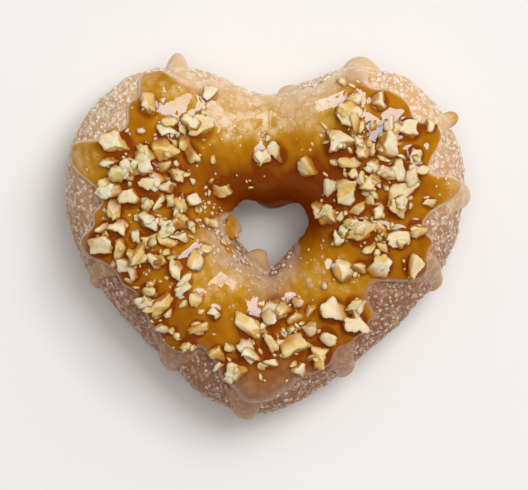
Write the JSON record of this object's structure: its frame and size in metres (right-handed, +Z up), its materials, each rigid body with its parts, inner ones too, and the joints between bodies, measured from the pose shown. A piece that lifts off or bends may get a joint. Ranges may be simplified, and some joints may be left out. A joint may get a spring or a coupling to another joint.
{
  "type": "heart-shaped doughnut",
  "caption": "Heart-shaped ring doughnut with a heart-shaped hole, sugared dough, a dripping caramel glaze and chopped nuts.",
  "frame": {"origin": "middle of the bounding box in plan, on the plane the doughnut rests on", "axes": "+Z up through the hole; +Y towards the notch of the heart, -Y towards its tip; +X to the right of the picture"},
  "size_m": [0.1009, 0.0918, 0.0354],
  "materials": {
    "dough": null,
    "caramel": "glossy amber caramel glaze",
    "sugar": "coarse white sugar crystals",
    "nut": "pale chopped nut kernels with tan edges and some brown skin"
  },
  "bodies": {
    "root": {"dough": "dough", "caramel_and_nuts": "caramel"}
  },
  "joints": []
}
